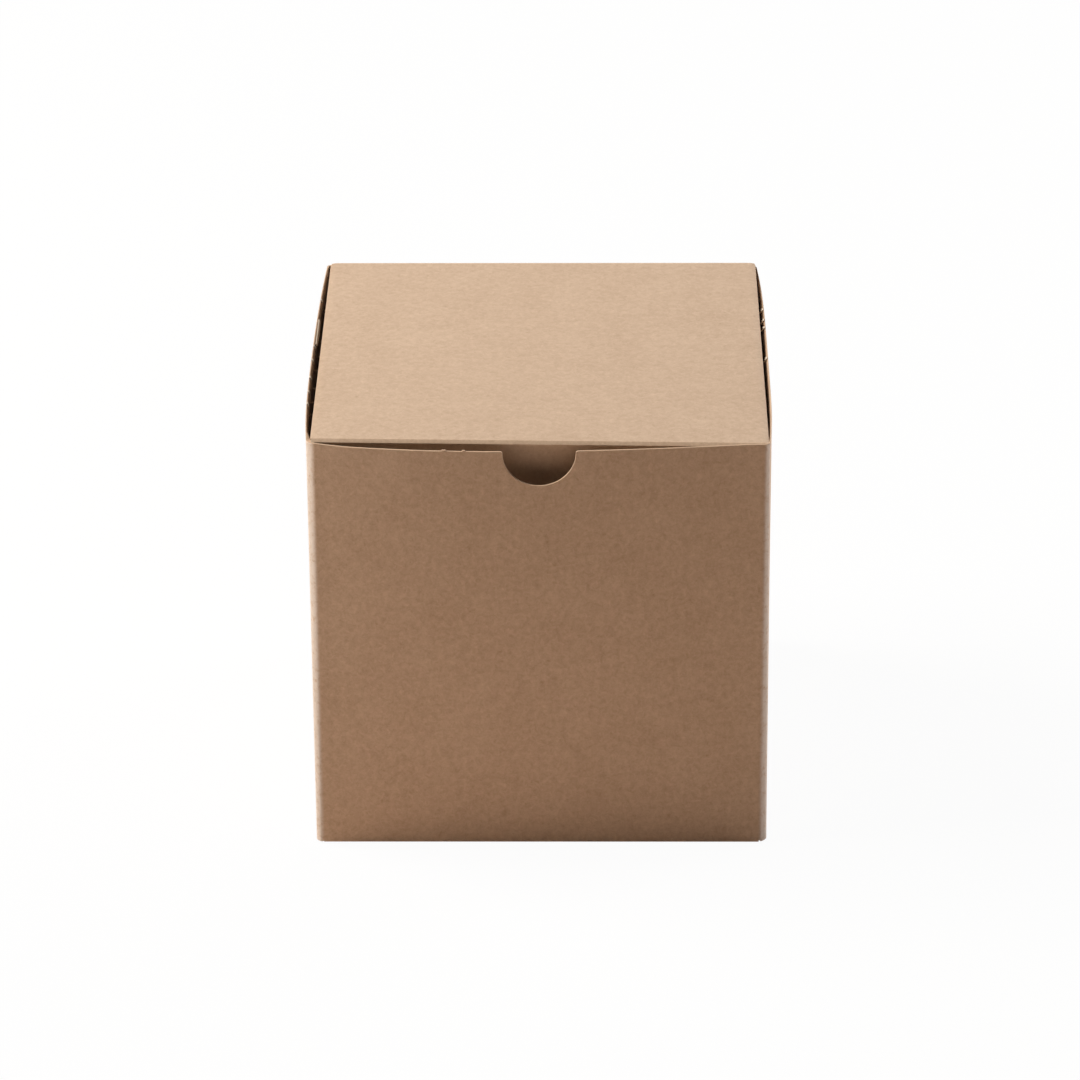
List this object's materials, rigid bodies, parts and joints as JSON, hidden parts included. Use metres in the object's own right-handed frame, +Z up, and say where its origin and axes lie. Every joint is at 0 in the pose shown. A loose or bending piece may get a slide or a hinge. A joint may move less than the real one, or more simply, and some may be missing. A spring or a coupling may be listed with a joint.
{
  "type": "tuck-top folding carton",
  "caption": "Cube-shaped folding carton of plain kraft board with a hinged lid, a tuck flap behind a front wall with a thumb notch, dust flaps and a snap-lock bottom.",
  "frame": {"origin": "middle of the base between the walls, on the surface that the box stands on", "axes": "+Z up through the lid; -Y out of the front wall with the thumb notch; +X to the right of someone facing the front"},
  "size_m": [0.1034, 0.1056, 0.1],
  "materials": {
    "kraft_board": "uncoated kraft board, matt, with fine fibres",
    "kraft_fold": "creased kraft board, matt, slightly paler along the fold",
    "glue": "dried carton glue, cloudy"
  },
  "bodies": {
    "carton": {"front_wall": "kraft_board", "left_wall": "kraft_board", "right_wall": "kraft_board", "back_wall": "kraft_board", "front_left_crease": "kraft_fold", "front_right_crease": "kraft_fold", "back_left_crease": "kraft_fold", "back_right_crease": "kraft_fold", "glue_flap": "kraft_board", "glue_seam": "glue", "bottom_front_flap": "kraft_board", "bottom_left_flap": "kraft_board", "bottom_right_flap": "kraft_board", "bottom_back_flap": "kraft_board", "bottom_front_crease": "kraft_fold", "bottom_left_crease": "kraft_fold", "bottom_right_crease": "kraft_fold", "bottom_back_crease": "kraft_fold", "lid_crease": "kraft_fold"},
    "lid": {"lid_panel": "kraft_board", "tuck_crease": "kraft_fold"},
    "tuck": {"tuck_flap": "kraft_board"},
    "left_dust": {"left_dust_flap": "kraft_board"},
    "right_dust": {"right_dust_flap": "kraft_board"}
  },
  "joints": [
    {"name": "lid_hinge", "type": "hinge", "parent": "carton", "child": "lid", "pos_m": [0, 0.05055, 0.09975], "axis": [-1, 0, 0], "range_deg": [0, 175]},
    {"name": "tuck_fold", "type": "hinge", "parent": "lid", "child": "tuck", "pos_m": [0, -0.04965, 0.09975], "axis": [-1, 0, 0], "range_deg": [0, 63]},
    {"name": "left_dust_fold", "type": "hinge", "parent": "carton", "child": "left_dust", "pos_m": [-0.05055, 0, 0.09925], "axis": [0, -1, 0], "range_deg": [0, 140]},
    {"name": "right_dust_fold", "type": "hinge", "parent": "carton", "child": "right_dust", "pos_m": [0.05055, 0, 0.09925], "axis": [0, 1, 0], "range_deg": [0, 140]}
  ],
  "couplings": [
    {"joint": "tuck_fold", "follows": "lid_hinge", "ratio": 0.36},
    {"joint": "left_dust_fold", "follows": "lid_hinge", "ratio": 0.8},
    {"joint": "right_dust_fold", "follows": "lid_hinge", "ratio": 0.8}
  ]
}
